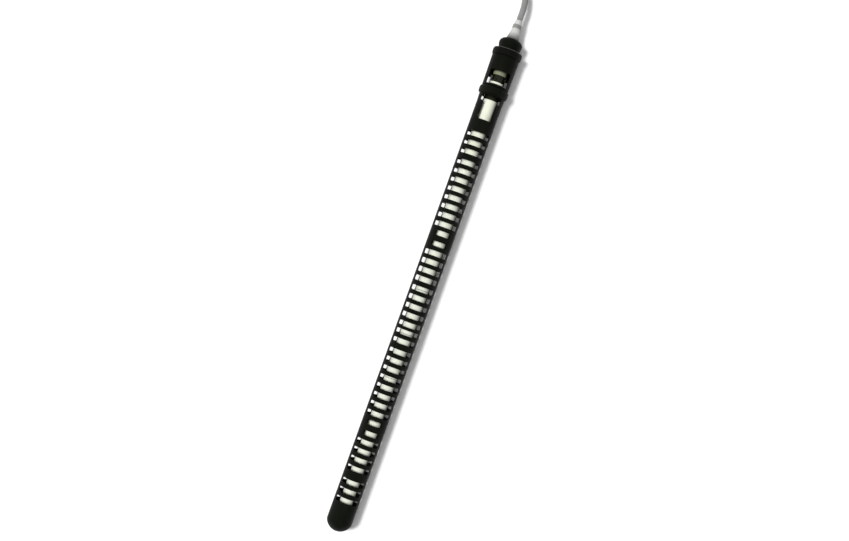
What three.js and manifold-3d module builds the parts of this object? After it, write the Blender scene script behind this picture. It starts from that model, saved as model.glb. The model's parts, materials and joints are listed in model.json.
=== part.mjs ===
// A submersible aquarium heater that lies on its side, with its axis along +X and its cord end at +X.
// A slotted guard covers a glass tube that holds a ceramic heating core and a thermostat; a locking
// collar, a head, a dial and a strain relief follow, and then the mains lead, put away as a hank.
// Millimetres, +Z up. Stations are distances along the axis from the guard's tip.
import * as THREE from 'three';
import { mergeVertices } from 'three/addons/utils/BufferGeometryUtils.js';
import Module from 'manifold-3d';

const wasm = await Module();
wasm.setup();

// Driving dimensions.
const LENGTH = 541.7; // tip of the guard to the end of the strain relief
const GAP = 0.3; // clearance between pieces that touch
const SIDES = 24; // facets round the large turned pieces
const GUARD_SIDES = 16;
const FLANGE_RADIUS = 15.15; // the largest radius, which the heater lies on
const GUARD_RADIUS = 12.95;
const GUARD_BORE = 11.35;
const GUARD_SHOULDER = 460.9; // station where the guard runs in under the collar
const GUARD_END = 467.2;
const GLASS_RADIUS = 7.7;
const GLASS_BORE = 7.0;
const CORE_RADIUS = 6.7; // ceramic core, plug and spacers inside the glass
const CENTRING_RADIUS = 11.0;
const AXIS_HEIGHT = FLANGE_RADIUS;

// Guard slots, from the head towards the tip: how many, and the step from the slot before.
const SLOT_HEIGHT = 5.2;
const SLOT_PITCH = 9.33;
const FIRST_SLOT = 419.0;
const SLOT_HALF_WIDTH = 10.8;
const NARROW_HALF_WIDTH = 7.65;
const SLOT_GROUPS = [
  { count: 3, step: 0 },
  { count: 9, step: 11.2, lastNarrow: true },
  { count: 5, step: 11.2, firstNarrow: true },
  { count: 5, step: 10.2 },
  { count: 2, step: 8.2 },
  { count: 9, step: 11.2, lastNarrow: true },
  { count: 5, step: 11.3, firstNarrow: true },
  { count: 3, step: 14.2 },
];
const WINDOW = { from: 434.7, to: 460.0, halfWidth: 7.3 };
const WINDOW_EARS = { from: 453.4, to: 460.0, halfWidth: 9.7 };
const HEAD_OPENING = { from: 471.2, frontTo: 485.9, backTo: 480.8, halfWidth: 10.2 };

// Ceramic core and the pieces above it.
const CORE_FROM = 24.0;
const CORE_TO = 393.4;
const CORE_SEGMENTS = 8;
const SEGMENT_GAP = 0.4;
const WIRE_OFFSET = 3.2; // both heating coils and both wires run this far either side of the axis
const COIL_RADIUS = 1.3;
const COIL_BORE = 1.7;
const WIRE_RADIUS = 0.6;
const WIRE_BORE = 1.0;
const ROD_OFFSET = 5.4; // the push rod runs below the axis
const ROD_RADIUS = 0.7;
const ROD_BORE = 1.0;

// Mains lead.
const CORD_RADIUS = 3.1;
const CORD_SIDES = 10;
const HANK = {
  nearX: 335.0, // where its straight runs start, in the part's own frame
  run: 111.6,
  centreY: -12.0,
  innerRadius: 19.0,
  outerRadius: 25.3,
  bottom: 1.3,
  top: 13.8,
};
const PLUG = { rearX: 380.0, collar: 20.0, length: 36.0, width: 35.3, thickness: 13.7, bottom: 15.4 };
const PIN = { length: 19.0, radius: 2.0, offset: 9.0 };

const heater = new THREE.Group();
const onAxis = new THREE.Group(); // its +Y is the heater's axis, counted from the tip
onAxis.rotation.z = -Math.PI / 2;
onAxis.position.set(-LENGTH / 2, 0, AXIS_HEIGHT);
heater.add(onAxis);

const finishes = {
  blackPlastic: { color: 0x171913, roughness: 0.45, metalness: 0 },
  greyRubber: { color: 0x6f716d, roughness: 0.7, metalness: 0 },
  cordSheath: { color: 0x555654, roughness: 0.6, metalness: 0 },
  softSilicone: { color: 0xa9ab98, roughness: 0.6, metalness: 0 },
  glass: { color: 0xdfe8e2, roughness: 0.05, metalness: 0, transparent: true, opacity: 0.3 },
  ceramic: { color: 0xf0f3e6, roughness: 0.7, metalness: 0 },
  liner: { color: 0xeaeee0, roughness: 0.6, metalness: 0 },
  phenolic: { color: 0x35391f, roughness: 0.6, metalness: 0 },
  brass: { color: 0xb89a55, roughness: 0.35, metalness: 1 },
  steel: { color: 0xb9bbbd, roughness: 0.3, metalness: 1 },
  wire: { color: 0x8c8f92, roughness: 0.4, metalness: 0.8 },
  lampGlass: { color: 0xd86a3a, roughness: 0.15, metalness: 0 },
};

function place(parent, name, geometry, finish) {
  const material = new THREE.MeshStandardMaterial(finishes[finish]);
  const mesh = new THREE.Mesh(welded(geometry), material);
  mesh.name = name;
  parent.add(mesh);
  return mesh;
}

// Joins equal vertices, drops the triangles that this collapses, and turns the faces out.
function welded(geometry) {
  const bare = new THREE.BufferGeometry();
  bare.setAttribute('position', geometry.getAttribute('position').clone());
  if (geometry.index) bare.setIndex(geometry.index.clone());
  const merged = mergeVertices(bare, 1e-4);
  const position = merged.getAttribute('position');
  const kept = [];
  let volume = 0;
  const [a, b, c] = [new THREE.Vector3(), new THREE.Vector3(), new THREE.Vector3()];
  const source = merged.getIndex().array;
  for (let i = 0; i < source.length; i += 3) {
    const [p, q, r] = source.slice(i, i + 3);
    if (p === q || q === r || r === p) continue;
    kept.push(p, q, r);
    a.fromBufferAttribute(position, p);
    b.fromBufferAttribute(position, q);
    c.fromBufferAttribute(position, r);
    volume += a.dot(b.cross(c));
  }
  merged.setIndex(volume < 0 ? kept.reverse() : kept);
  return merged;
}

function solid(geometry) {
  const mesh = welded(geometry);
  const vertProperties = new Float32Array(mesh.getAttribute('position').array);
  const triVerts = new Uint32Array(mesh.getIndex().array);
  return new wasm.Manifold(new wasm.Mesh({ numProp: 3, vertProperties, triVerts }));
}

function geometryOf(manifold) {
  const mesh = manifold.getMesh();
  const geometry = new THREE.BufferGeometry();
  geometry.setAttribute('position', new THREE.Float32BufferAttribute(mesh.vertProperties, 3));
  geometry.setIndex(Array.from(mesh.triVerts));
  return geometry;
}

// A closed [radius, station] outline turned about the axis. A facet faces each of the four sides,
// and radii are measured to the middle of the facets.
function turned(outline, sides = SIDES) {
  const toCorner = 1 / Math.cos(Math.PI / sides);
  const points = outline.map(([radius, station]) => new THREE.Vector2(radius * toCorner, station));
  return new THREE.LatheGeometry(points, sides, Math.PI / sides);
}

function ring(inner, outer, from, to, sides = SIDES) {
  return turned([[inner, from], [outer, from], [outer, to], [inner, to], [inner, from]], sides);
}

function disc(radius, from, to, sides = SIDES) {
  return turned([[0, from], [radius, from], [radius, to], [0, to]], sides);
}

// A box in the axis group: across and up are measured from the axis.
function block(across, upFrom, upTo, from, to) {
  const geometry = new THREE.BoxGeometry(2 * across, to - from, upTo - upFrom);
  return geometry.translate(0, (from + to) / 2, (upFrom + upTo) / 2);
}

// A bar of round section along the axis, moved off it.
function bar(radius, from, to, across, up, sides = 8) {
  return disc(radius, from, to, sides).translate(across, 0, up);
}

function arc(centreStation, radius, fromAngle, toAngle, steps) {
  const points = [];
  for (let i = 0; i <= steps; i += 1) {
    const angle = fromAngle + ((toAngle - fromAngle) * i) / steps;
    points.push([radius * Math.cos(angle), centreStation + radius * Math.sin(angle)]);
  }
  return points;
}

// Cuts a station range out of a shell, on both faces (+Z and -Z) or on one.
function slotCutter(halfWidth, from, to, face = 'both') {
  const reach = 2 * FLANGE_RADIUS;
  const [low, high] = { both: [-reach, reach], front: [0, reach], back: [-reach, 0] }[face];
  return solid(block(halfWidth, low, high, from, to));
}

function slotStations() {
  const slots = [];
  let station = FIRST_SLOT;
  for (const group of SLOT_GROUPS) {
    station -= group.step;
    for (let i = 0; i < group.count; i += 1) {
      if (i > 0) station -= SLOT_PITCH;
      const narrow = (group.firstNarrow && i === 0) || (group.lastNarrow && i === group.count - 1);
      slots.push({ station, halfWidth: narrow ? NARROW_HALF_WIDTH : SLOT_HALF_WIDTH });
    }
  }
  return slots;
}

function guardCage() {
  const domeRadius = 13.6;
  const wall = GUARD_RADIUS - GUARD_BORE;
  const rimAngle = -Math.acos(12.69 / domeRadius);
  const innerRim = -Math.acos(11.1 / (domeRadius - wall));
  const neckRadius = 12.2;
  const outline = [
    ...arc(domeRadius, domeRadius, -Math.PI / 2, rimAngle, 5),
    [GUARD_RADIUS, 9.8],
    [GUARD_RADIUS, 453.7],
    [13.2, GUARD_SHOULDER],
    [neckRadius, GUARD_SHOULDER],
    [neckRadius, GUARD_END],
    [GUARD_BORE, GUARD_END],
    [GUARD_BORE, 11.0],
    ...arc(domeRadius + 0.6, domeRadius - wall, innerRim, -Math.PI / 2, 4),
  ];
  let cage = solid(turned(outline, GUARD_SIDES));
  for (const { station, halfWidth } of slotStations()) {
    cage = cage.subtract(slotCutter(halfWidth, station - SLOT_HEIGHT / 2, station + SLOT_HEIGHT / 2));
  }
  cage = cage.subtract(slotCutter(WINDOW.halfWidth, WINDOW.from, WINDOW.to));
  cage = cage.subtract(slotCutter(WINDOW_EARS.halfWidth, WINDOW_EARS.from, WINDOW_EARS.to));
  return geometryOf(cage);
}

// The soft cup in the guard's tip that the glass tube's round end sits in.
function tipCushion() {
  const cupRadius = GLASS_RADIUS + 0.4;
  return turned([
    [0, 3.4],
    [5.5, 4.6],
    [9.6, 9.6],
    [9.6, 17.0],
    [8.3, 17.0],
    ...arc(20.4, cupRadius, -0.42, -Math.PI / 2, 4),
  ]);
}

function glassTube() {
  const wall = GLASS_RADIUS - GLASS_BORE;
  const centre = 20.4;
  return turned([
    ...arc(centre, GLASS_RADIUS, -Math.PI / 2, 0, 5),
    [GLASS_RADIUS, 497.5],
    [GLASS_BORE, 497.5],
    ...arc(centre, GLASS_RADIUS - wall, 0, -Math.PI / 2, 5),
  ]);
}

function lockingCollar() {
  const bore = 12.55;
  const crown = 15.1;
  return turned([
    [bore, 461.3],
    [13.5, 461.3],
    [14.5, 462.1],
    [crown, 463.8],
    [crown, 466.5],
    [14.5, 468.1],
    [13.6, 468.9],
    [bore, 468.9],
    [bore, 461.3],
  ]);
}

function headSleeve() {
  const sleeve = solid(
    turned([
      [9.3, 462.2],
      [CENTRING_RADIUS, 462.2],
      [CENTRING_RADIUS, 469.6],
      [13.6, 469.6],
      [14.05, 501.6],
      [12.2, 501.6],
      [12.2, 470.9],
      [9.3, 470.9],
      [9.3, 462.2],
    ]),
  );
  const { from, frontTo, backTo, halfWidth } = HEAD_OPENING;
  const front = slotCutter(halfWidth, from, frontTo, 'front');
  const back = slotCutter(halfWidth, from, backTo, 'back');
  return geometryOf(sleeve.subtract(front).subtract(back));
}

function headFlange() {
  const flange = solid(
    turned([
      [8.1, 489.5],
      [11.85, 489.5],
      [11.85, 502.0],
      [14.2, 502.0],
      [14.9, 503.0],
      [FLANGE_RADIUS, 504.4],
      [FLANGE_RADIUS, 507.4],
      [14.6, 508.7],
      [3.8, 508.7],
      [3.8, 499.0],
      [8.1, 499.0],
      [8.1, 489.5],
    ]),
  );
  return geometryOf(flange.subtract(solid(bar(ROD_BORE, 498, 510, 0, -ROD_OFFSET))));
}

function dialKnob() {
  return turned([
    [9.2, 509.1],
    [10.5, 509.1],
    [10.9, 511.4],
    [11.6, 513.7],
    [12.0, 515.8],
    [11.75, 517.5],
    [11.0, 518.9],
    [9.6, 520.3],
    [7.7, 521.2],
    [6.9, 521.3],
    [6.9, 520.3],
    [3.75, 520.3],
    [3.75, 517.2],
    [9.2, 517.2],
    [9.2, 509.1],
  ]);
}

function strainRelief() {
  return turned(
    [
      [0, 500.5],
      [3.4, 500.5],
      [3.4, 520.6],
      [6.4, 520.6],
      [6.3, 522.4],
      [5.2, 527.6],
      [4.3, 532.4],
      [4.6, 533.4],
      [4.6, 536.6],
      [4.1, 537.4],
      [3.5, LENGTH],
      [0, LENGTH],
    ],
    16,
  );
}

// A round plug, spacer or disc inside the glass, with the two wire holes and the rod's groove.
function borehole(geometry, from, to, wireBore, withRodGroove) {
  let body = solid(geometry);
  for (const side of [-1, 1]) {
    body = body.subtract(solid(bar(wireBore, from - 1, to + 1, side * WIRE_OFFSET, 0)));
  }
  if (withRodGroove) {
    const half = ROD_BORE;
    body = body.subtract(solid(block(half, -2 * GLASS_BORE, half - ROD_OFFSET, from - 1, to + 1)));
  }
  return geometryOf(body);
}

function addHeatingCore(parent) {
  const gaps = (CORE_SEGMENTS - 1) * SEGMENT_GAP;
  const length = (CORE_TO - CORE_FROM - gaps) / CORE_SEGMENTS;
  for (let i = 0; i < CORE_SEGMENTS; i += 1) {
    const from = CORE_FROM + i * (length + SEGMENT_GAP);
    const segment = disc(CORE_RADIUS, from, from + length, 16);
    const bored = borehole(segment, from, from + length, COIL_BORE, false);
    place(parent, `ceramic_segment_${i + 1}`, bored, 'ceramic');
  }
  place(parent, 'bottom_spacer', disc(5.4, 20.4, 23.6, 16), 'softSilicone');
  place(parent, 'heating_coil_left', bar(COIL_RADIUS, 24.4, 393.2, -WIRE_OFFSET, 0), 'wire');
  place(parent, 'heating_coil_right', bar(COIL_RADIUS, 24.4, 393.2, WIRE_OFFSET, 0), 'wire');
  const shield = borehole(disc(CORE_RADIUS, 394.0, 397.0, 16), 394.0, 397.0, WIRE_BORE, false);
  place(parent, 'heat_shield', shield, 'phenolic');
}

// A flat strip that carries the thermostat, with half discs at the liner's end and in the neck.
function thermostatCarrier() {
  const [underside, top] = [-1.9, -0.9];
  const cutDepth = 2 * CORE_RADIUS;
  let carrier = solid(block(4.0, underside, top, 404.0, 472.8));
  for (const [from, to] of [[456.5, 463.0], [469.8, 472.8]]) {
    const whole = solid(disc(CORE_RADIUS, from, to, 16));
    const lowerPart = solid(block(cutDepth, -cutDepth, underside, from - 1, to + 1));
    carrier = carrier.add(whole.subtract(lowerPart));
  }
  for (const side of [-1, 1]) {
    carrier = carrier.subtract(solid(bar(WIRE_BORE, 456, 473, side * WIRE_OFFSET, 0)));
  }
  return geometryOf(carrier);
}

function addThermostat(parent) {
  place(parent, 'scale_liner', ring(6.2, CORE_RADIUS, 397.6, 456.2), 'liner');
  place(parent, 'thermostat_carrier', thermostatCarrier(), 'phenolic');
  place(parent, 'bimetal_post', block(2.2, -0.6, 0.9, 404.0, 408.0), 'brass');
  place(parent, 'bimetal_strip', block(2.2, 1.2, 1.6, 404.0, 446.0), 'steel');
  place(parent, 'fixed_contact', block(1.1, -0.6, 0.0, 441.0, 444.0), 'brass');
  place(parent, 'moving_contact', block(1.1, 0.3, 0.9, 441.0, 444.0), 'brass');
  place(parent, 'capacitor', block(2.2, -0.6, 2.2, 448.5, 456.0), 'softSilicone');
  place(parent, 'indicator_lamp', bar(1.5, 463.3, 468.5, 0, 1.2, 10), 'lampGlass');
  place(parent, 'adjusting_lever', block(1.5, -5.6, -2.2, 458.2, 459.4), 'brass');
  for (const [side, name] of [[-1, 'left'], [1, 'right']]) {
    const feed = bar(WIRE_RADIUS, 393.6, 475.1, side * WIRE_OFFSET, 0);
    place(parent, `feed_wire_${name}`, feed, 'wire');
    const lead = bar(WIRE_RADIUS, 482.5, 499.8, side * WIRE_OFFSET, 0);
    place(parent, `lead_wire_${name}`, lead, 'wire');
  }
}

function addNeck(parent) {
  const spacer = solid(ring(5.3, CORE_RADIUS, 473.1, 475.2));
  const groove = solid(block(ROD_BORE, -2 * GLASS_BORE, -4, 472, 476));
  place(parent, 'neck_spacer', geometryOf(spacer.subtract(groove)), 'liner');
  const terminals = disc(CORE_RADIUS, 475.5, 482.1, 16);
  const grooved = solid(terminals).subtract(
    solid(block(ROD_BORE, -2 * GLASS_BORE, ROD_BORE - ROD_OFFSET, 475, 483)),
  );
  place(parent, 'terminal_block', geometryOf(grooved), 'phenolic');
  const plug = borehole(disc(CORE_RADIUS, 482.4, 498.6), 482.4, 498.6, WIRE_BORE, true);
  place(parent, 'seal_plug', plug, 'softSilicone');
  place(parent, 'mouth_gasket', ring(7.05, 7.65, 497.8, 498.7), 'softSilicone');
}

function addDialWorks(parent) {
  place(parent, 'dial_knob', dialKnob(), 'blackPlastic');
  const nut = ring(3.8, 8.8, 512.2, 515.2);
  place(parent, 'adjusting_ring', nut, 'phenolic');
  place(parent, 'push_rod', bar(ROD_RADIUS, 461.5, 511.9, 0, -ROD_OFFSET), 'brass');
}

function addCentringRings(parent) {
  const width = 4.0;
  for (const [i, station] of [24.5, 109.4, 308.7, 427.2].entries()) {
    const geometry = ring(GLASS_RADIUS + 0.35, CENTRING_RADIUS, station - width / 2, station + width / 2);
    place(parent, `centring_ring_${i + 1}`, geometry, 'softSilicone');
  }
}

// A tube along points that a smooth curve passes through.
function tube(points, radius, sides, steps) {
  const path = new THREE.CatmullRomCurve3(points.map((p) => new THREE.Vector3(...p)));
  const section = new THREE.Shape();
  for (let i = 0; i < sides; i += 1) {
    const angle = (2 * Math.PI * i) / sides;
    const [x, y] = [radius * Math.cos(angle), radius * Math.sin(angle)];
    if (i === 0) section.moveTo(x, y);
    else section.lineTo(x, y);
  }
  section.closePath();
  return new THREE.ExtrudeGeometry(section, { extrudePath: path, steps, curveSegments: 1 });
}

// Where the lead runs from the strain relief to the hank, dropping to the surface.
const leadRoute = [
  [271.15, 0.0, 15.15],
  [276.0, 0.0, 15.15],
  [281.0, 0.0, 15.15],
  [286.0, 0.28, 14.92],
  [291.0, 1.09, 14.27],
  [296.0, 2.38, 13.23],
  [301.0, 4.02, 11.9],
  [306.0, 5.88, 10.4],
  [311.0, 7.8, 8.84],
];

// Where it rises off the hank and runs into the plug.
const tailRoute = [
  [424.0, -33.45, 17.35],
  [418.3, -30.35, 19.63],
  [413.5, -27.3, 21.1],
  [408.7, -24.1, 22.0],
  [403.9, -20.95, 22.25],
  [399.1, -18.0, 22.25],
  [394.4, -15.5, 22.25],
  [389.6, -13.6, 22.25],
  [384.8, -12.4, 22.25],
  [380.3, -12.0, 22.25],
];

// The flat outline of a hank: straight runs with round ends.
function raceTrack(path, radius) {
  const { nearX, run, centreY } = HANK;
  path.moveTo(nearX, centreY + radius);
  path.absarc(nearX, centreY, radius, Math.PI / 2, (3 * Math.PI) / 2, false);
  path.absarc(nearX + run, centreY, radius, -Math.PI / 2, Math.PI / 2, false);
  path.closePath();
  return path;
}

function hank() {
  const outline = raceTrack(new THREE.Shape(), HANK.outerRadius + CORD_RADIUS);
  outline.holes.push(raceTrack(new THREE.Path(), HANK.innerRadius - CORD_RADIUS));
  const height = HANK.top - HANK.bottom;
  const options = { depth: height, bevelEnabled: false, curveSegments: 12, steps: 1 };
  return new THREE.ExtrudeGeometry(outline, options).translate(0, 0, HANK.bottom);
}

// A strap round the four turns on one side of the hank.
function tie(side) {
  const [inner, wall, width] = [6.25 + GAP, 1.0, 4.0];
  const box = (half, length) => new THREE.BoxGeometry(length, 2 * half, 2 * half);
  const strap = solid(box(inner + wall, width)).subtract(solid(box(inner, 2 * width)));
  const underPlug = PLUG.rearX - PLUG.collar - PLUG.length / 2;
  const lane = (HANK.innerRadius + HANK.outerRadius) / 2;
  const height = (HANK.bottom + HANK.top) / 2;
  return geometryOf(strap).translate(underPlug, HANK.centreY + side * lane, height);
}

// The moulded two-pin plug lies on the ties, its pins towards -X.
function addPlug(parent) {
  const height = PLUG.bottom + PLUG.thickness / 2;
  const bodyRear = PLUG.rearX - PLUG.collar - GAP;
  const half = PLUG.width / 2;
  const outline = new THREE.Shape();
  outline.moveTo(-half, 0);
  outline.lineTo(-half, 14);
  outline.lineTo(-9, PLUG.length);
  outline.lineTo(9, PLUG.length);
  outline.lineTo(half, 14);
  outline.lineTo(half, 0);
  outline.closePath();
  const options = { depth: PLUG.thickness, bevelEnabled: false, steps: 1 };
  const body = new THREE.ExtrudeGeometry(outline, options);
  body.translate(0, 0, -PLUG.thickness / 2).rotateZ(-Math.PI / 2);
  body.translate(bodyRear - PLUG.length, HANK.centreY, height);
  place(parent, 'plug_body', body, 'cordSheath');
  const collar = turned([[0, 0], [5.6, 0], [3.7, PLUG.collar], [0, PLUG.collar]], 16);
  collar.rotateZ(-Math.PI / 2).translate(bodyRear + GAP, HANK.centreY, height);
  place(parent, 'plug_collar', collar, 'cordSheath');
  const face = bodyRear - PLUG.length - GAP;
  for (const [side, name] of [[-1, 'left'], [1, 'right']]) {
    const pin = turned([[0, 0], [1.4, 0], [PIN.radius, 1.2], [PIN.radius, PIN.length], [0, PIN.length]], 12);
    pin.rotateZ(-Math.PI / 2).translate(face - PIN.length, HANK.centreY + side * PIN.offset, height);
    place(parent, `plug_pin_${name}`, pin, 'steel');
  }
}

place(onAxis, 'guard_cage', guardCage(), 'blackPlastic');
place(onAxis, 'tip_cushion', tipCushion(), 'softSilicone');
place(onAxis, 'glass_tube', glassTube(), 'glass');
addHeatingCore(onAxis);
addThermostat(onAxis);
addNeck(onAxis);
addCentringRings(onAxis);
place(onAxis, 'locking_collar', lockingCollar(), 'blackPlastic');
place(onAxis, 'head_sleeve', headSleeve(), 'blackPlastic');
place(onAxis, 'head_flange', headFlange(), 'blackPlastic');
addDialWorks(onAxis);
place(onAxis, 'strain_relief', strainRelief(), 'greyRubber');
place(heater, 'cord_lead', tube(leadRoute, CORD_RADIUS, CORD_SIDES, 8), 'cordSheath');
place(heater, 'cord_hank', hank(), 'cordSheath');
place(heater, 'cord_tail', tube(tailRoute, CORD_RADIUS, CORD_SIDES, 8), 'cordSheath');
place(heater, 'tie_left', tie(1), 'blackPlastic');
place(heater, 'tie_right', tie(-1), 'blackPlastic');
addPlug(heater);

export default heater;
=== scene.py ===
"""The looks of a submersible aquarium heater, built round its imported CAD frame.

The heater lies on a pale floor with its axis along +X, its closed tip at -X and its lead at +X.
Lengths are written in millimetres in the outlines and turned into metres by MM.
A station is a distance along the axis from the tip of the guard.
"""
import json
import math

import bmesh
import bpy
from mathutils import Matrix, Vector


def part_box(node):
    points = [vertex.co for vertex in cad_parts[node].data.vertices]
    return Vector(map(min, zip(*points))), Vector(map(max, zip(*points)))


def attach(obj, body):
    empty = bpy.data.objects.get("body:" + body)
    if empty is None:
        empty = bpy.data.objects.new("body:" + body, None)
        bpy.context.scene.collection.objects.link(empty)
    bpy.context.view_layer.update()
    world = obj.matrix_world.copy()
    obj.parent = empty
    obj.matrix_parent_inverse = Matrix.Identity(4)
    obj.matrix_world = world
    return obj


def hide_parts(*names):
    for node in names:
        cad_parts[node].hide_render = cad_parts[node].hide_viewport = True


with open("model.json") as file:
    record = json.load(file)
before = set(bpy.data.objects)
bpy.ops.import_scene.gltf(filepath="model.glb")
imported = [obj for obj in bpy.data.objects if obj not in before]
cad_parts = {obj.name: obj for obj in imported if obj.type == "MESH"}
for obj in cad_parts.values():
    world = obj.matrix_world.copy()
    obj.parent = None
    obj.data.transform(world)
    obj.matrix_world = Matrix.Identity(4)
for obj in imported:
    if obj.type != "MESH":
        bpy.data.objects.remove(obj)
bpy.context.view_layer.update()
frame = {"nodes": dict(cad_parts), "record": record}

MM = 0.001

# The heater's axis, read from the frame.
GUARD_LOW, GUARD_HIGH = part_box("guard_cage")
TIP_X = GUARD_LOW.x
AXIS_Z = (GUARD_LOW.z + GUARD_HIGH.z) / 2

SEGMENTS = 96
GUARD_SEGMENTS = 128

GUARD_RADIUS = 12.95
GUARD_BORE = 11.35
GLASS_RADIUS = 7.7
GLASS_BORE = 7.0
CORE_RADIUS = 6.7
CORD_RADIUS = 3.1
WIRE_OFFSET = 3.2
ROD_OFFSET = 5.4


# ---------------------------------------------------------------- camera

PHOTO_SIZE = (849, 541)
SENSOR = 36.0
VIEW_DISTANCE = 1.05     # from the heater's axis; one pixel is then one millimetre there
VIEW_TILT = math.radians(19.78)
CAMERA_PLACE = Vector((TIP_X + 274.65 * MM, 4.64 * MM, AXIS_Z + VIEW_DISTANCE))


def make_camera():
    data = bpy.data.cameras.new("camera")
    data.sensor_width = SENSOR
    data.lens = SENSOR * VIEW_DISTANCE / (PHOTO_SIZE[0] * MM)
    data.clip_end = 20
    camera = bpy.data.objects.new("camera", data)
    right = Vector((math.sin(VIEW_TILT), -math.cos(VIEW_TILT), 0))
    up = Vector((math.cos(VIEW_TILT), math.sin(VIEW_TILT), 0))
    turn = Matrix((right, up, Vector((0, 0, 1)))).transposed().to_4x4()
    camera.matrix_world = Matrix.Translation(CAMERA_PLACE) @ turn
    bpy.context.scene.collection.objects.link(camera)
    bpy.context.scene.camera = camera


# ---------------------------------------------------------------- mesh helpers

def link(obj):
    bpy.context.scene.collection.objects.link(obj)
    return obj


def mesh_object(name, vertices, faces):
    mesh = bpy.data.meshes.new(name)
    mesh.from_pydata([tuple(v) for v in vertices], [], faces)
    mesh.validate()
    bm = bmesh.new()
    bm.from_mesh(mesh)
    bmesh.ops.remove_doubles(bm, verts=bm.verts, dist=1e-7)
    bmesh.ops.recalc_face_normals(bm, faces=bm.faces)
    bm.to_mesh(mesh)
    bm.free()
    return link(bpy.data.objects.new(name, mesh))


def finish_piece(piece, material, body, nodes=(), sharp=40):
    """Shades a piece, gives it its material, and puts it on its body in place of its CAD nodes."""
    if piece.type == "MESH":
        piece.data.shade_smooth()
        piece.data.set_sharp_from_angle(angle=math.radians(sharp))
    piece.data.materials.clear()
    piece.data.materials.append(material)
    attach(piece, body)
    if nodes:
        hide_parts(*nodes)
    return piece


def apply_modifiers(piece):
    bpy.context.view_layer.update()
    graph = bpy.context.evaluated_depsgraph_get()
    mesh = bpy.data.meshes.new_from_object(piece.evaluated_get(graph))
    piece.modifiers.clear()
    old = piece.data
    piece.data = mesh
    bpy.data.meshes.remove(old)


def carve(piece, cutter):
    cut = piece.modifiers.new("cut", "BOOLEAN")
    cut.operation = "DIFFERENCE"
    cut.solver = "EXACT"
    cut.object = cutter
    apply_modifiers(piece)
    bpy.data.objects.remove(cutter)


def soften(piece, width, segments=2):
    """Rounds a piece's sharp edges; width is in millimetres."""
    bevel = piece.modifiers.new("edges", "BEVEL")
    bevel.width = width * MM
    bevel.segments = segments
    bevel.limit_method = "ANGLE"
    bevel.angle_limit = math.radians(40)
    bevel.miter_outer = "MITER_ARC"
    apply_modifiers(piece)


def at(station, across, up):
    """A point in the row frame, from a station and offsets from the axis, in millimetres."""
    return Vector((TIP_X + station * MM, across * MM, AXIS_Z + up * MM))


def rounded(outline, radius, closed=True, steps=4):
    """The outline with its corners turned into curves of about that radius. A point may hold its
    own radius as a third number."""
    count = len(outline)
    result = []
    for i, point in enumerate(outline):
        corner = Vector(point[:2])
        own = point[2] if len(point) > 2 else radius
        if own <= 0 or (not closed and i in (0, count - 1)):
            result.append(corner)
            continue
        before = Vector(outline[i - 1][:2]) - corner
        after = Vector(outline[(i + 1) % count][:2]) - corner
        if before.length < 1e-9 or after.length < 1e-9:
            result.append(corner)
            continue
        half = before.angle(after) / 2
        if half > math.radians(87):
            result.append(corner)
            continue
        reach = min(own / math.tan(half), 0.48 * before.length, 0.48 * after.length)
        start = corner + before.normalized() * reach
        end = corner + after.normalized() * reach
        for k in range(steps + 1):
            t = k / steps
            result.append(start * (1 - t) ** 2 + corner * (2 * t * (1 - t)) + end * t ** 2)
    return [(p.x, p.y) for p in result]


def turned(name, outline, radius=0.3, segments=SEGMENTS):
    """A solid turned about the heater's axis from a closed outline of (radius, station)."""
    on_axis = outline[0][0] == 0 and outline[-1][0] == 0
    points = rounded(outline, radius, closed=not on_axis)
    vertices = []
    rings = []
    for r, station in points:
        if r < 1e-6:
            rings.append([len(vertices)])
            vertices.append(at(station, 0, 0))
            continue
        rings.append(list(range(len(vertices), len(vertices) + segments)))
        for k in range(segments):
            angle = 2 * math.pi * k / segments
            vertices.append(at(station, r * math.sin(angle), r * math.cos(angle)))
    faces = []
    pairs = list(zip(rings, rings[1:]))
    if not on_axis:
        pairs.append((rings[-1], rings[0]))
    for low, high in pairs:
        faces += band(low, high)
    return mesh_object(name, vertices, faces)


def band(low, high):
    """The faces between two rings of vertices, or between a ring and a single point."""
    if len(low) == 1 and len(high) == 1:
        return []
    count = max(len(low), len(high))
    faces = []
    for k in range(count):
        n = (k + 1) % count
        if len(low) == 1:
            faces.append((low[0], high[n], high[k]))
        elif len(high) == 1:
            faces.append((low[k], low[n], high[0]))
        else:
            faces.append((low[k], low[n], high[n], high[k]))
    return faces


def prism(outline, low, high, place):
    """The vertices and faces of an outline pushed from low to high; place(u, v, w) gives a point."""
    count = len(outline)
    vertices = [place(u, v, low) for u, v in outline] + [place(u, v, high) for u, v in outline]
    faces = [tuple(range(count)), tuple(range(count, 2 * count))]
    faces += [(k, (k + 1) % count, count + (k + 1) % count, count + k) for k in range(count)]
    return vertices, faces


def through_cutter(outlines, low=-30.0, high=30.0):
    """A cutter that pushes outlines of (station, across) along Z, measured from the axis."""
    vertices, faces = [], []
    for outline in outlines:
        v, f = prism(outline, low, high, at)
        base = len(vertices)
        vertices += v
        faces += [tuple(base + i for i in face) for face in f]
    return mesh_object("cutter", vertices, faces)


def box_outline(low, high, half, radius):
    corners = [(low, -half), (high, -half), (high, half), (low, half)]
    return rounded(corners, radius, steps=3)


def along_axis_cutter(radius, low, high, across, up, sides=24):
    """A round cutter along the axis, moved off it."""
    outline = [(radius * math.cos(a), radius * math.sin(a))
               for a in (2 * math.pi * k / sides for k in range(sides))]
    return mesh_object("cutter", *prism(outline, low, high,
                                        lambda u, v, w: at(w, across + u, up + v)))


def arc(centre, radius, start, end, steps):
    """Points of (radius, station) on a circle about a point of the axis."""
    angles = [start + (end - start) * k / steps for k in range(steps + 1)]
    return [(radius * math.cos(a), centre + radius * math.sin(a), 0) for a in angles]


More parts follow.
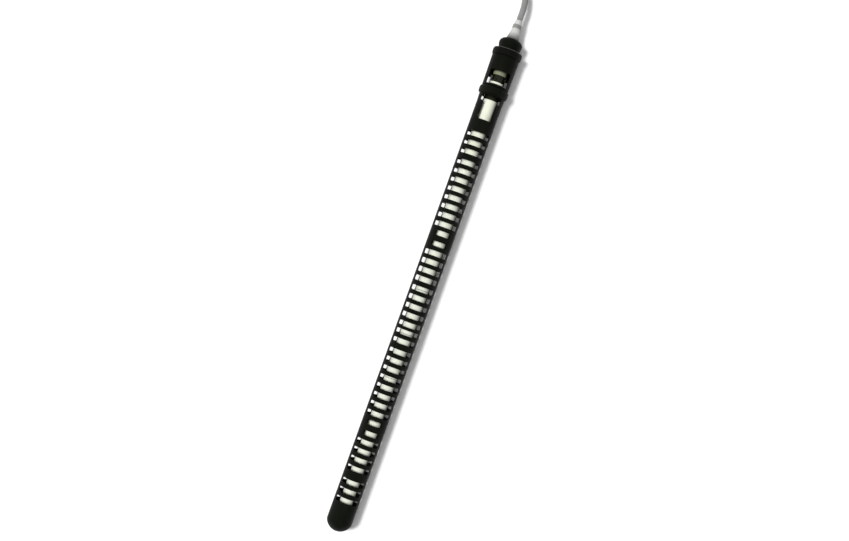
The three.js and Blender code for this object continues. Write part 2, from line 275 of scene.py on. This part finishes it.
def sweep(name, points, radius, sides):
    """A curve object of round section along points in the row frame."""
    curve = bpy.data.curves.new(name, "CURVE")
    curve.dimensions = "3D"
    curve.bevel_depth = radius * MM
    curve.bevel_resolution = sides // 2 - 1
    curve.use_fill_caps = True
    spline = curve.splines.new("POLY")
    spline.points.add(len(points) - 1)
    for target, point in zip(spline.points, points):
        target.co = (*point, 1)
    spline.use_smooth = True
    return link(bpy.data.objects.new(name, curve))


# ---------------------------------------------------------------- materials

class Nodes:
    """A material's node tree with short calls for what the materials share."""

    def __init__(self, name):
        self.material = bpy.data.materials.new(name)
        self.material.use_nodes = True
        self.tree = self.material.node_tree
        self.shader = self.tree.nodes["Principled BSDF"]
        self.output = self.tree.nodes["Material Output"]
        self.place = self.tree.nodes.new("ShaderNodeTexCoord").outputs["Object"]

    def add(self, kind, **values):
        node = self.tree.nodes.new(kind)
        for key, value in values.items():
            setattr(node, key, value)
        return node

    def join(self, source, target):
        self.tree.links.new(source, target)

    def noise(self, scale, detail=4.0, roughness=0.55, stretch=(1, 1, 1)):
        mapping = self.add("ShaderNodeMapping")
        mapping.inputs["Scale"].default_value = stretch
        self.join(self.place, mapping.inputs["Vector"])
        noise = self.add("ShaderNodeTexNoise")
        noise.inputs["Scale"].default_value = scale
        noise.inputs["Detail"].default_value = detail
        noise.inputs["Roughness"].default_value = roughness
        self.join(mapping.outputs["Vector"], noise.inputs["Vector"])
        return noise.outputs["Fac"]

    def ramp(self, value, stops):
        ramp = self.add("ShaderNodeValToRGB")
        elements = ramp.color_ramp.elements
        while len(elements) < len(stops):
            elements.new(0.5)
        for element, (position, colour) in zip(elements, stops):
            element.position = position
            element.color = (*colour, 1)
        self.join(value, ramp.inputs["Fac"])
        return ramp.outputs["Color"]

    def span(self, value, low, high, start=0.3, end=0.7):
        """The value between start and end, stretched to run from low to high."""
        node = self.add("ShaderNodeMapRange")
        node.inputs["From Min"].default_value = start
        node.inputs["From Max"].default_value = end
        node.inputs["To Min"].default_value = low
        node.inputs["To Max"].default_value = high
        self.join(value, node.inputs["Value"])
        return node.outputs["Result"]

    def colour(self, value, stops):
        self.join(self.ramp(value, stops), self.shader.inputs["Base Color"])

    def rough(self, value, low, high):
        self.join(self.span(value, low, high), self.shader.inputs["Roughness"])

    def bump(self, value, height, strength=1.0):
        """Relief from a value; height is in millimetres."""
        bump = self.add("ShaderNodeBump")
        bump.inputs["Distance"].default_value = height * MM
        bump.inputs["Strength"].default_value = strength
        self.join(value, bump.inputs["Height"])
        self.join(bump.outputs["Normal"], self.shader.inputs["Normal"])
        return bump

    def set(self, values):
        for key, value in values.items():
            self.shader.inputs[key].default_value = value


def srgb(red, green, blue):
    """Linear colour from 0 to 255 display values."""
    def linear(value):
        value /= 255
        return value / 12.92 if value <= 0.04045 else ((value + 0.055) / 1.055) ** 2.4
    return tuple(linear(v) for v in (red, green, blue))


def black_plastic():
    n = Nodes("black_plastic")
    flow = n.noise(90, detail=3, stretch=(0.25, 1, 1))
    grain = n.noise(2600, detail=3)
    n.colour(flow, [(0.3, srgb(10, 12, 8)), (0.7, srgb(17, 19, 14))])
    n.rough(n.noise(420, detail=5), 0.55, 0.7)
    n.bump(grain, 0.03, 0.5)
    n.set({"Specular IOR Level": 0.1})
    return n.material


def grey_rubber():
    """The boot's rubber, with painted shade that makes it darker where it comes out of the dial."""
    n = Nodes("grey_rubber")
    light = n.ramp(n.noise(220, detail=5), [(0.3, srgb(176, 177, 173)), (0.7, srgb(192, 193, 190))])
    axes = n.add("ShaderNodeSeparateXYZ")
    n.join(n.place, axes.inputs["Vector"])
    # Painted shade: a ramp along the axis darkens the boot's first 8 mm out of the dial, where the
    # dial shades it.
    base = TIP_X + 521 * MM
    shade = n.ramp(n.span(axes.outputs["X"], 0, 1, base, base + 8 * MM),
                   [(0.0, srgb(92, 93, 91)), (1.0, srgb(255, 255, 255))])
    mix = n.add("ShaderNodeMixRGB", blend_type="MULTIPLY")
    mix.inputs["Fac"].default_value = 1.0
    n.join(light, mix.inputs["Color1"])
    n.join(shade, mix.inputs["Color2"])
    n.join(mix.outputs["Color"], n.shader.inputs["Base Color"])
    n.rough(n.noise(500), 0.55, 0.75)
    n.bump(n.noise(2200, detail=2), 0.04, 0.5)
    return n.material


def cord_sheath():
    n = Nodes("cord_sheath")
    n.colour(n.noise(160, detail=6), [(0.3, srgb(118, 119, 118)), (0.7, srgb(134, 135, 133))])
    n.rough(n.noise(700), 0.45, 0.65)
    n.bump(n.noise(1800, detail=3), 0.04, 0.5)
    return n.material


def silicone():
    n = Nodes("silicone")
    n.colour(n.noise(180, detail=4), [(0.3, srgb(124, 128, 106)), (0.7, srgb(142, 146, 124))])
    n.rough(n.noise(600), 0.45, 0.6)
    n.bump(n.noise(1600), 0.03, 0.4)
    return n.material


def ceramic():
    n = Nodes("ceramic")
    n.colour(n.noise(140, detail=6), [(0.3, srgb(232, 235, 227)), (0.7, srgb(241, 243, 236))])
    n.rough(n.noise(900), 0.6, 0.8)
    n.bump(n.noise(3000, detail=3), 0.04, 0.6)
    n.set({"Subsurface Weight": 0.7, "Subsurface Scale": 0.0012, "Subsurface Radius": (1, 1, 0.9)})
    return n.material


def pale_liner():
    n = Nodes("pale_liner")
    n.colour(n.noise(110, detail=3), [(0.3, srgb(234, 237, 224)), (0.7, srgb(241, 244, 232))])
    n.rough(n.noise(800), 0.45, 0.6)
    n.bump(n.noise(1200, detail=2), 0.02, 0.4)
    return n.material


def phenolic():
    n = Nodes("phenolic")
    n.colour(n.noise(500, detail=6, stretch=(0.3, 1, 1)),
             [(0.3, srgb(15, 18, 7)), (0.7, srgb(25, 29, 13))])
    n.rough(n.noise(700), 0.5, 0.7)
    n.bump(n.noise(1500), 0.03, 0.5)
    return n.material


def metal(name, dark, light, low, high):
    n = Nodes(name)
    brushed = n.noise(900, detail=5, stretch=(0.08, 1, 1))
    n.colour(brushed, [(0.3, dark), (0.7, light)])
    n.rough(brushed, low, high)
    n.bump(brushed, 0.01, 0.4)
    n.set({"Metallic": 1.0})
    return n.material


def lamp_glass():
    n = Nodes("lamp_glass")
    n.colour(n.noise(300), [(0.3, srgb(186, 78, 40)), (0.7, srgb(214, 102, 58))])
    n.rough(n.noise(900), 0.06, 0.14)
    n.set({"Coat Weight": 0.6})
    return n.material


def clear_glass():
    """Glass that bends what is seen through it and lets the lamps' light through."""
    n = Nodes("clear_glass")
    n.colour(n.noise(40, detail=2), [(0.3, srgb(247, 248, 244)), (0.7, srgb(251, 252, 249))])
    n.rough(n.noise(260), 0.0, 0.03)
    n.set({"Transmission Weight": 1.0, "IOR": 1.47})
    path = n.add("ShaderNodeLightPath")
    clear = n.add("ShaderNodeBsdfTransparent")
    clear.inputs["Color"].default_value = (0.95, 0.95, 0.93, 1)
    straight = n.add("ShaderNodeMath", operation="MAXIMUM")
    n.join(path.outputs["Is Shadow Ray"], straight.inputs[0])
    n.join(path.outputs["Is Diffuse Ray"], straight.inputs[1])
    mix = n.add("ShaderNodeMixShader")
    n.join(straight.outputs["Value"], mix.inputs["Fac"])
    n.join(n.shader.outputs["BSDF"], mix.inputs[1])
    n.join(clear.outputs["BSDF"], mix.inputs[2])
    n.join(mix.outputs["Shader"], n.output.inputs["Surface"])
    return n.material


def floor_paper():
    n = Nodes("floor_paper")
    n.colour(n.noise(12, detail=3), [(0.3, srgb(248, 248, 248)), (0.7, srgb(252, 252, 252))])
    n.rough(n.noise(40), 0.8, 0.95)
    return n.material


# ---------------------------------------------------------------- lead

# The lead's route in millimetres, where it isn't coiled, as in the CAD model.
LEAD_ROUTE = [
    (271.15, 0.0, 15.15),
    (276.0, 0.0, 15.15),
    (281.0, 0.0, 15.15),
    (286.0, 0.28, 14.92),
    (291.0, 1.09, 14.27),
    (296.0, 2.38, 13.23),
    (301.0, 4.02, 11.9),
    (306.0, 5.88, 10.4),
    (311.0, 7.8, 8.84),
    (316.0, 9.63, 7.36),
    (321.0, 11.21, 6.09),
    (326.0, 12.41, 5.12),
    (331.0, 13.12, 4.54),
    (335.0, 13.3, 4.4),
]
TAIL_ROUTE = [
    (446.6, -37.3, 10.7),
    (442.2, -37.3, 11.07),
    (437.4, -37.26, 12.12),
    (432.6, -36.58, 13.72),
    (427.9, -35.14, 15.68),
    (424.0, -33.45, 17.35),
    (418.3, -30.35, 19.63),
    (413.5, -27.3, 21.1),
    (408.7, -24.1, 22.0),
    (403.9, -20.95, 22.25),
    (399.1, -18.0, 22.25),
    (394.4, -15.5, 22.25),
    (389.6, -13.6, 22.25),
    (384.8, -12.4, 22.25),
    (380.3, -12.0, 22.25),
]
HANK_NEAR = 335.0
HANK_RUN = 111.6
HANK_Y = -12.0
INNER_LANE = 19.0
OUTER_LANE = 25.3
LOW_LAYER = 4.4
HIGH_LAYER = 10.7


def ease(share):
    share = min(max(share, 0.0), 1.0)
    return (1 - math.cos(math.pi * share)) / 2


def hank_points():
    """The turns of the hank: lanes side by side and in two layers, wound towards the middle below
    and outwards above. Each turn says its lane and layer at the far end and at the near end."""
    turns = [
        ((OUTER_LANE, LOW_LAYER), (INNER_LANE, LOW_LAYER), (0.65, 1.0)),
        ((INNER_LANE, LOW_LAYER), (INNER_LANE, HIGH_LAYER), (0.30, 0.65)),
        ((INNER_LANE, HIGH_LAYER), (OUTER_LANE, HIGH_LAYER), (0.0, 0.35)),
        ((OUTER_LANE, HIGH_LAYER), None, None),
    ]
    run_steps, loop_steps = 20, 24
    far = HANK_NEAR + HANK_RUN
    points = []
    for (lane, layer), near_end, change in turns:
        for k in range(run_steps + 1):
            points.append((HANK_NEAR + HANK_RUN * k / run_steps, HANK_Y + lane, layer))
        for k in range(1, loop_steps + 1):
            a = math.pi / 2 - math.pi * k / loop_steps
            points.append((far + lane * math.cos(a), HANK_Y + lane * math.sin(a), layer))
        if near_end is None:
            break
        next_lane, next_layer = near_end
        for k in range(1, run_steps + 1):
            part = ease((k / run_steps - change[0]) / (change[1] - change[0]))
            now = lane + (next_lane - lane) * part
            height = layer + (next_layer - layer) * part
            points.append((far - HANK_RUN * k / run_steps, HANK_Y - now, height))
        for k in range(1, loop_steps):
            a = -math.pi / 2 - math.pi * k / loop_steps
            points.append((HANK_NEAR + next_lane * math.cos(a),
                           HANK_Y + next_lane * math.sin(a), next_layer))
    return points


def smooth_line(points, step):
    """Points about a step apart on a Catmull-Rom curve through the given points."""
    knots = [Vector(p) for p in points]
    knots = [2 * knots[0] - knots[1]] + knots + [2 * knots[-1] - knots[-2]]
    line = []
    for a, b, c, d in zip(knots, knots[1:], knots[2:], knots[3:]):
        count = max(1, round((c - b).length / step))
        for k in range(count):
            t = k / count
            line.append(0.5 * (2 * b + (c - a) * t + (2 * a - 5 * b + 4 * c - d) * t ** 2
                               + (3 * b - a - 3 * c + d) * t ** 3))
    line.append(knots[-2])
    return line


def lead_line():
    points = LEAD_ROUTE[:-1] + hank_points() + TAIL_ROUTE[1:]
    return [p * MM for p in smooth_line(points, 2.0)]


def length_of(line):
    return sum((b - a).length for a, b in zip(line, line[1:]))


def make_lead(materials):
    line = lead_line()
    lead = sweep("mains_lead", line, CORD_RADIUS, sides=20)
    finish_piece(lead, materials["cord_sheath"], "heater",
                 ["cord_lead", "cord_hank", "cord_tail"])
    plug = make_plug(materials)
    ties = [make_tie(name, materials) for name in ("tie_left", "tie_right")]
    print("lead length", round(length_of(line), 4))
    return lead


def make_tie(node, materials):
    """A flat strap round the turns on one side of the hank."""
    low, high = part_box(node)
    centre = (low + high) / 2
    half = (high - low) / 2
    wall = 0.9 * MM
    corner = 3.0 * MM
    outer = rounded([(-half.y, -half.z), (half.y, -half.z), (half.y, half.z), (-half.y, half.z)],
                    corner, steps=8)
    scale_y, scale_z = 1 - wall / half.y, 1 - wall / half.z
    vertices = []
    count = len(outer)
    for x in (low.x, high.x):
        vertices += [(x, centre.y + y, centre.z + z) for y, z in outer]
        vertices += [(x, centre.y + y * scale_y, centre.z + z * scale_z) for y, z in outer]
    faces = []
    for k in range(count):
        n = (k + 1) % count
        faces.append((k, n, count + n, count + k))
        faces.append((2 * count + k, 2 * count + n, 3 * count + n, 3 * count + k))
        faces.append((k, n, 2 * count + n, 2 * count + k))
        faces.append((count + k, count + n, 3 * count + n, 3 * count + k))
    strap = mesh_object(node + "_strap", vertices, faces)
    soften(strap, 0.2)
    return finish_piece(strap, materials["black_plastic"], "heater", [node])


def make_plug(materials):
    low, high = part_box("plug_body")
    centre = (low + high) / 2
    half_width, half_height = (high.y - low.y) / 2, (high.z - low.z) / 2
    length = high.x - low.x
    shoulder, nose = 0.4 * length, 0.52 * half_width
    outline = [(0, -half_width), (shoulder, -half_width), (length, -nose),
               (length, nose), (shoulder, half_width), (0, half_width)]
    outline = rounded(outline, 3.0 * MM, steps=6)
    vertices, faces = prism(outline, -half_height, half_height,
                            lambda u, v, w: Vector((low.x + u, centre.y + v, centre.z + w)))
    body = mesh_object("plug_shell", vertices, faces)
    soften(body, 1.6, segments=4)
    grooves = [low.x + length * (0.5 + 0.075 * k) for k in range(5)]
    surfaces = (centre.z - half_height, centre.z + half_height)
    carve(body, grip_cutter(grooves, centre.y, surfaces))
    finish_piece(body, materials["cord_sheath"], "heater", ["plug_body"])
    collar = make_plug_collar(materials)
    pins = [make_pin(name, materials) for name in ("plug_pin_left", "plug_pin_right")]
    return [body, collar] + pins


def grip_cutter(grooves, middle, surfaces):
    """Bars that cut the finger grooves across both faces of the plug, as one mesh."""
    half, reach = 0.5 * MM, 6.5 * MM
    vertices, faces = [], []
    for x in grooves:
        for z in surfaces:
            corners = [(x - half, -half), (x + half, -half), (x + half, half), (x - half, half)]
            bar, bar_faces = prism(corners, -reach, reach,
                                   lambda u, v, w: Vector((u, middle + w, z + v)))
            faces += [tuple(len(vertices) + i for i in face) for face in bar_faces]
            vertices += bar
    return mesh_object("cutter", vertices, faces)


def turned_at(name, outline, origin, radius=0.2, segments=48):
    """A solid turned about a line along X through origin; outline is (radius, distance) in mm."""
    piece = turned(name, outline, radius, segments)
    piece.data.transform(Matrix.Translation(origin - at(0, 0, 0)))
    return piece


def make_plug_collar(materials):
    low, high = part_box("plug_collar")
    centre = (low + high) / 2
    length = (high.x - low.x) / MM
    outline = [(0, 0), (5.5, 0)]
    ribs = 6
    for k in range(ribs):
        start = length * (k + 0.35) / (ribs + 0.3)
        end = length * (k + 0.75) / (ribs + 0.3)
        outer = 5.5 - 1.8 * start / length
        outline += [(outer, start), (outer - 0.9, start + 0.3),
                    (outer - 0.95, end), (outer - 0.15, end + 0.3)]
    outline += [(3.6, length), (0, length)]
    collar = turned_at("plug_collar_ribbed", outline, Vector((low.x, centre.y, centre.z)))
    return finish_piece(collar, materials["cord_sheath"], "heater", ["plug_collar"])


def make_pin(node, materials):
    low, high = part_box(node)
    centre = (low + high) / 2
    length = (high.x - low.x) / MM
    outline = [(0, 0), (1.2, 0), (1.95, 1.4), (1.95, length), (0, length)]
    pin = turned_at(node + "_round", outline, Vector((low.x, centre.y, centre.z)), radius=0.6)
    pin.visible_shadow = False      # its shadow would reach into the view, beside the lead
    return finish_piece(pin, materials["bright_steel"], "heater", [node])


# ---------------------------------------------------------------- guard

SLOT_HEIGHT = 5.2
SLOT_PITCH = 9.33
FIRST_SLOT = 419.0
WIDE_HALF = 10.8
NARROW_HALF = 7.65
SLOT_CORNER = 0.9
# How many slots, and the step from the slot before, from the head towards the tip.
SLOT_GROUPS = [(3, 0.0), (9, 11.2), (5, 11.2), (5, 10.2), (2, 8.2), (9, 11.2), (5, 11.3),
               (3, 14.2)]
NARROW_SLOTS = {(1, 8), (2, 0), (5, 8), (6, 0)}      # by group and place in it


def slot_outlines():
    outlines = []
    station = FIRST_SLOT
    for group, (count, step) in enumerate(SLOT_GROUPS):
        station -= step
        for i in range(count):
            if i:
                station -= SLOT_PITCH
            narrow = (group, i) in NARROW_SLOTS
            half = NARROW_HALF if narrow else WIDE_HALF
            corner = 1.6 if narrow else SLOT_CORNER
            outlines.append(box_outline(station - SLOT_HEIGHT / 2, station + SLOT_HEIGHT / 2,
                                        half, corner))
    return outlines


def window_outline():
    low, shoulder, high = 434.7, 453.4, 460.0
    half, ear = 7.3, 9.7
    corners = [(low, -half), (shoulder, -half), (shoulder, -ear), (high, -ear),
               (high, ear), (shoulder, ear), (shoulder, half), (low, half)]
    return rounded(corners, 0.6, steps=3)


def make_guard(materials):
    dome, wall = 13.6, GUARD_RADIUS - GUARD_BORE
    rim = -math.acos(12.5 / dome)
    inner_rim = -math.acos(11.0 / (dome - wall))
    outline = arc(dome, dome, -math.pi / 2, rim, 14) + [
        (GUARD_RADIUS, 9.8, 1.2),
        (GUARD_RADIUS, 453.7, 2.0),
        (13.2, 460.9, 0.3),
        (12.2, 460.9, 0.2),
        (12.2, 467.2, 0.3),
        (GUARD_BORE, 467.2, 0.3),
        (GUARD_BORE, 11.2, 0.8),
    ] + arc(dome + 0.6, dome - wall, inner_rim, -math.pi / 2, 10)
    guard = turned("guard_shell", outline, 0.3, GUARD_SEGMENTS)
    carve(guard, through_cutter(slot_outlines() + [window_outline()]))
    soften(guard, 0.28)
    return finish_piece(guard, materials["black_plastic"], "guard", ["guard_cage"])


def make_cushion(materials):
    outline = [(0, 3.5), (5.4, 4.7, 2), (9.5, 9.7, 2), (9.5, 16.9, 0.5), (8.4, 16.9, 0.4)]
    outline += arc(20.4, GLASS_RADIUS + 0.4, -0.42, -math.pi / 2, 10)
    cushion = turned("tip_cup", outline, 0.5)
    return finish_piece(cushion, materials["silicone"], "guard", ["tip_cushion"])


# ---------------------------------------------------------------- head

def make_collar(materials):
    bore = 12.55
    outline = [(bore, 461.35), (13.6, 461.35, 0.5), (14.85, 462.3, 1.5), (15.1, 465.1, 3.0),
               (14.85, 467.9, 1.5), (13.8, 468.85, 0.5), (bore, 468.85)]
    collar = turned("collar_ring", outline, 0.2, GUARD_SEGMENTS)
    return finish_piece(collar, materials["black_plastic"], "collar",
                        ["locking_collar"])


def make_sleeve(materials):
    outline = [(9.3, 462.2), (11.0, 462.2), (11.0, 469.6, 0.1), (13.6, 469.6), (14.05, 501.6),
               (12.2, 501.6), (12.2, 470.9), (9.3, 470.9)]
    sleeve = turned("sleeve_shell", outline, 0.3, GUARD_SEGMENTS)
    front = [box_outline(471.2, 485.9, 10.2, 1.2)]
    back = [box_outline(471.2, 480.8, 10.2, 1.2)]
    carve(sleeve, through_cutter(front, low=0.0))
    carve(sleeve, through_cutter(back, high=0.0))
    soften(sleeve, 0.25)
    return finish_piece(sleeve, materials["black_plastic"], "heater",
                        ["head_sleeve"])


def make_flange(materials):
    outline = [(8.1, 489.5), (11.85, 489.5), (11.85, 502.0, 0.1), (14.2, 502.0, 0.4),
               (14.9, 503.1, 1.5), (15.15, 505.4, 3.0), (15.15, 507.3, 1.0), (14.6, 508.7, 0.4),
               (13.4, 508.7, 0.1), (13.2, 508.45, 0.1), (3.8, 508.45), (3.8, 499.0), (8.1, 499.0)]
    flange = turned("flange_bead", outline, 0.3, GUARD_SEGMENTS)
    carve(flange, along_axis_cutter(1.0, 498, 510, 0, -ROD_OFFSET))
    finish_piece(flange, materials["black_plastic"], "heater", ["head_flange"])
    # A thin grey ring on the flange's top face: a painted highlight, the light line along the
    # flange's rim where it catches light.
    rim_highlight_ring = turned("flange_rim_highlight", [(13.4, 508.68), (14.64, 508.68), (14.64, 508.82),
                                      (13.4, 508.82)], 0.03)
    finish_piece(rim_highlight_ring, materials["cord_sheath"], "heater", ["head_flange"])


def make_dial(materials):
    outline = [(9.2, 509.1), (10.5, 509.1, 0.3), (10.85, 511.2, 2), (11.6, 513.7, 3),
               (12.0, 515.8, 4), (11.75, 517.5, 3), (11.0, 518.9, 3), (9.6, 520.3, 3),
               (7.7, 521.2, 3), (6.9, 521.3, 0.2), (6.9, 520.3, 0.2), (3.75, 520.3, 0.2),
               (3.75, 517.2, 0.2), (9.2, 517.2)]
    dial = turned("dial_dome", outline, 0.3, GUARD_SEGMENTS)
    return finish_piece(dial, materials["black_plastic"], "dial", ["dial_knob"])


def make_relief(materials):
    """The soft boot that the lead leaves by, and the firmer ring moulded round its end."""
    outline = [(0, 500.5), (3.4, 500.5), (3.4, 520.6, 0.1), (6.35, 520.6, 0.3), (6.3, 522.4, 1),
               (5.2, 527.6, 4), (4.25, 532.4, 0.5), (4.05, 533.2, 0.2), (4.05, 537.0, 0.2),
               (3.45, 541.7, 0.3), (0, 541.7)]
    boot = turned("relief_boot", outline, 0.2)
    finish_piece(boot, materials["grey_rubber"], "heater", ["strain_relief"])
    ring = turned("relief_ring", [(3.9, 533.0), (4.55, 533.0), (4.55, 537.0), (3.9, 537.0)], 0.4)
    finish_piece(ring, materials["cord_sheath"], "heater", ["strain_relief"])


# ---------------------------------------------------------------- inside the glass

def make_glass(materials):
    centre = 20.4
    wall = GLASS_RADIUS - GLASS_BORE
    outline = arc(centre, GLASS_RADIUS, -math.pi / 2, 0, 14) + [
        (GLASS_RADIUS, 497.5, 0.4), (GLASS_BORE, 497.5, 0.4)
    ] + arc(centre, GLASS_RADIUS - wall, 0, -math.pi / 2, 14)
    tube = turned("glass_envelope", outline, 0.4)
    return finish_piece(tube, materials["tube_glass"], "heater", ["glass_tube"])


def make_core(materials):
    count, start, end, gap = 8, 24.0, 393.4, 0.4
    length = (end - start - (count - 1) * gap) / count
    for i in range(count):
        low = start + i * (length + gap)
        high = low + length
        piece = turned(f"core_{i + 1}", [(0, low), (CORE_RADIUS, low, 0.5),
                                         (CORE_RADIUS, high, 0.5), (0, high)], 0.5)
        for side in (-1, 1):
            carve(piece, along_axis_cutter(1.7, low - 1, high + 1, side * WIRE_OFFSET, 0))
        finish_piece(piece, materials["ceramic"], "heater", [f"ceramic_segment_{i + 1}"])


def make_coils(materials):
    """The resistance wire, wound as a helix in each bore of the core."""
    start, end, pitch, steps = 24.8, 392.8, 2.0, 12
    turns = int((end - start) / pitch)
    for side, word in ((-1, "left"), (1, "right")):
        points = []
        for k in range(turns * steps + 1):
            a = 2 * math.pi * k / steps
            across = side * WIRE_OFFSET + 1.05 * math.cos(a)
            points.append(at(start + pitch * k / steps, across, 1.05 * math.sin(a)))
        coil = sweep(f"helix_{word}", points, 0.22, sides=6)
        finish_piece(coil, materials["wire_metal"], "heater",
                     [f"heating_coil_{word}"])


def make_liner(materials):
    low, high = 397.6, 456.2
    outline = [(6.2, low), (CORE_RADIUS, low), (CORE_RADIUS, high), (6.2, high)]
    liner = turned("liner_sleeve", outline, 0.15)
    return finish_piece(liner, materials["pale_liner"], "heater", ["scale_liner"])


def make_neck(materials):
    spacer = turned("neck_ring", [(5.3, 473.1), (CORE_RADIUS, 473.1), (CORE_RADIUS, 475.2),
                                  (5.3, 475.2)], 0.3)
    carve(spacer, along_axis_cutter(1.2, 472, 476, 0, -ROD_OFFSET))
    finish_piece(spacer, materials["pale_liner"], "heater", ["neck_spacer"])
    block = turned("terminal_disc", [(0, 475.5), (CORE_RADIUS, 475.5, 0.4),
                                     (CORE_RADIUS, 482.1, 0.4), (0, 482.1)])
    carve(block, along_axis_cutter(1.1, 475, 483, 0, -ROD_OFFSET))
    finish_piece(block, materials["phenolic"], "heater", ["terminal_block"])
    plug = turned("mouth_plug", [(0, 482.4), (CORE_RADIUS, 482.4, 0.6), (CORE_RADIUS, 486.0, 0.2),
                                 (6.3, 486.4, 0.2), (6.3, 487.0, 0.2), (CORE_RADIUS, 487.4, 0.2),
                                 (CORE_RADIUS, 498.6, 0.6), (0, 498.6)])
    for side in (-1, 1):
        carve(plug, along_axis_cutter(1.0, 481, 500, side * WIRE_OFFSET, 0))
    carve(plug, along_axis_cutter(1.0, 481, 500, 0, -ROD_OFFSET))
    finish_piece(plug, materials["silicone"], "heater", ["seal_plug"])
    gasket = turned("gasket_ring", [(7.05, 497.8), (7.65, 497.8), (7.65, 498.7), (7.05, 498.7)], 0.3)
    finish_piece(gasket, materials["silicone"], "heater", ["mouth_gasket"])


def make_centring_rings(materials):
    """Silicone rings round the glass, each with a groove, that keep the guard off it."""
    for i in range(1, 5):
        node = f"centring_ring_{i}"
        low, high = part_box(node)
        start, end = (low.x - TIP_X) / MM, (high.x - TIP_X) / MM
        middle = (start + end) / 2
        outline = [(8.05, start), (11.0, start, 0.6), (11.0, middle - 0.7, 0.3), (10.3, middle, 0.3),
                   (11.0, middle + 0.7, 0.3), (11.0, end, 0.6), (8.05, end)]
        ring = turned(node + "_lips", outline, 0.3)
        finish_piece(ring, materials["silicone"], "heater", [node])


def make_lamp(materials):
    low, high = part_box("indicator_lamp")
    start = (low.x - TIP_X) / MM
    length = (high.x - low.x) / MM - 0.2
    outline = [(0, 0), (0.5, 0.1, 0.3), (1.45, 1.2, 0.8), (1.45, length, 0.4), (0, length)]
    lamp = turned_at("lamp_bulb", outline, at(start + 0.1, 0, 1.2), segments=32)
    finish_piece(lamp, materials["lamp_glass"], "heater", ["indicator_lamp"])


def dress_cad_nodes(materials):
    """The small sealed pieces keep their CAD shape and get their finished material."""
    for part in frame["record"]["subparts"]:
        obj = frame["nodes"][part["node"]]
        if obj.hide_render:
            continue
        material = materials[part["material_slot"]]
        if not obj.material_slots:
            obj.data.materials.append(material)
        for material_slot in obj.material_slots:
            material_slot.link = "OBJECT"
            material_slot.material = material


# ---------------------------------------------------------------- stage

def make_floor():
    floor = mesh_object("floor", [(-9, -9, 0), (9, -9, 0), (9, 9, 0), (-9, 9, 0)], [(0, 1, 2, 3)])
    floor.data.materials.append(floor_paper())


def area_light(name, place, target, size, power):
    """A rectangular light that faces its target, with its first side in the heater's plane."""
    data = bpy.data.lights.new(name, "AREA")
    data.shape = "RECTANGLE"
    data.size, data.size_y = size
    data.energy = power
    light = link(bpy.data.objects.new(name, data))
    back = (Vector(place) - Vector(target)).normalized()
    across = back.cross(Vector((1, 0, 0))).normalized()
    turn = Matrix((across.cross(back), across, back)).transposed().to_4x4()
    light.matrix_world = Matrix.Translation(Vector(place)) @ turn
    return light


def key_light():
    """A broad soft light from the heater's left, high up, with parallel rays."""
    data = bpy.data.lights.new("key", "SUN")
    data.energy = 3.3
    data.angle = math.radians(15)
    light = link(bpy.data.objects.new("key", data))
    light.rotation_euler = (math.radians(-25), 0, 0)
    return light


def make_lights():
    """A soft key from the left, a softbox overhead, and a dim white room."""
    world = bpy.data.worlds.new("room")
    world.use_nodes = True
    background = world.node_tree.nodes["Background"]
    background.inputs["Color"].default_value = (1, 1, 1, 1)
    background.inputs["Strength"].default_value = 0.16
    bpy.context.scene.world = world
    overhead = area_light("overhead", (0, 0, 0.9), (0, 0, 0), (1.2, 0.6), 3.0)
    for light in (key_light(), overhead):
        light.visible_glossy = False
        light.visible_transmission = False
    bpy.context.scene.view_settings.view_transform = "Standard"


# ---------------------------------------------------------------- assembly

def make_materials():
    return {
        "black_plastic": black_plastic(),
        "grey_rubber": grey_rubber(),
        "cord_sheath": cord_sheath(),
        "silicone": silicone(),
        "tube_glass": clear_glass(),
        "ceramic": ceramic(),
        "pale_liner": pale_liner(),
        "phenolic": phenolic(),
        "contact_brass": metal("contact_brass", srgb(176, 148, 84), srgb(206, 178, 112), 0.25, 0.45),
        "bright_steel": metal("bright_steel", srgb(176, 177, 178), srgb(204, 205, 206), 0.18, 0.36),
        "wire_metal": metal("wire_metal", srgb(128, 130, 132), srgb(160, 162, 165), 0.3, 0.5),
        "lamp_glass": lamp_glass(),
    }


make_camera()
all_materials = make_materials()
make_lead(all_materials)
make_guard(all_materials)
make_cushion(all_materials)
make_collar(all_materials)
make_sleeve(all_materials)
make_flange(all_materials)
make_dial(all_materials)
make_relief(all_materials)
make_glass(all_materials)
make_core(all_materials)
make_coils(all_materials)
make_liner(all_materials)
make_neck(all_materials)
make_centring_rings(all_materials)
make_lamp(all_materials)
dress_cad_nodes(all_materials)
make_floor()
make_lights()
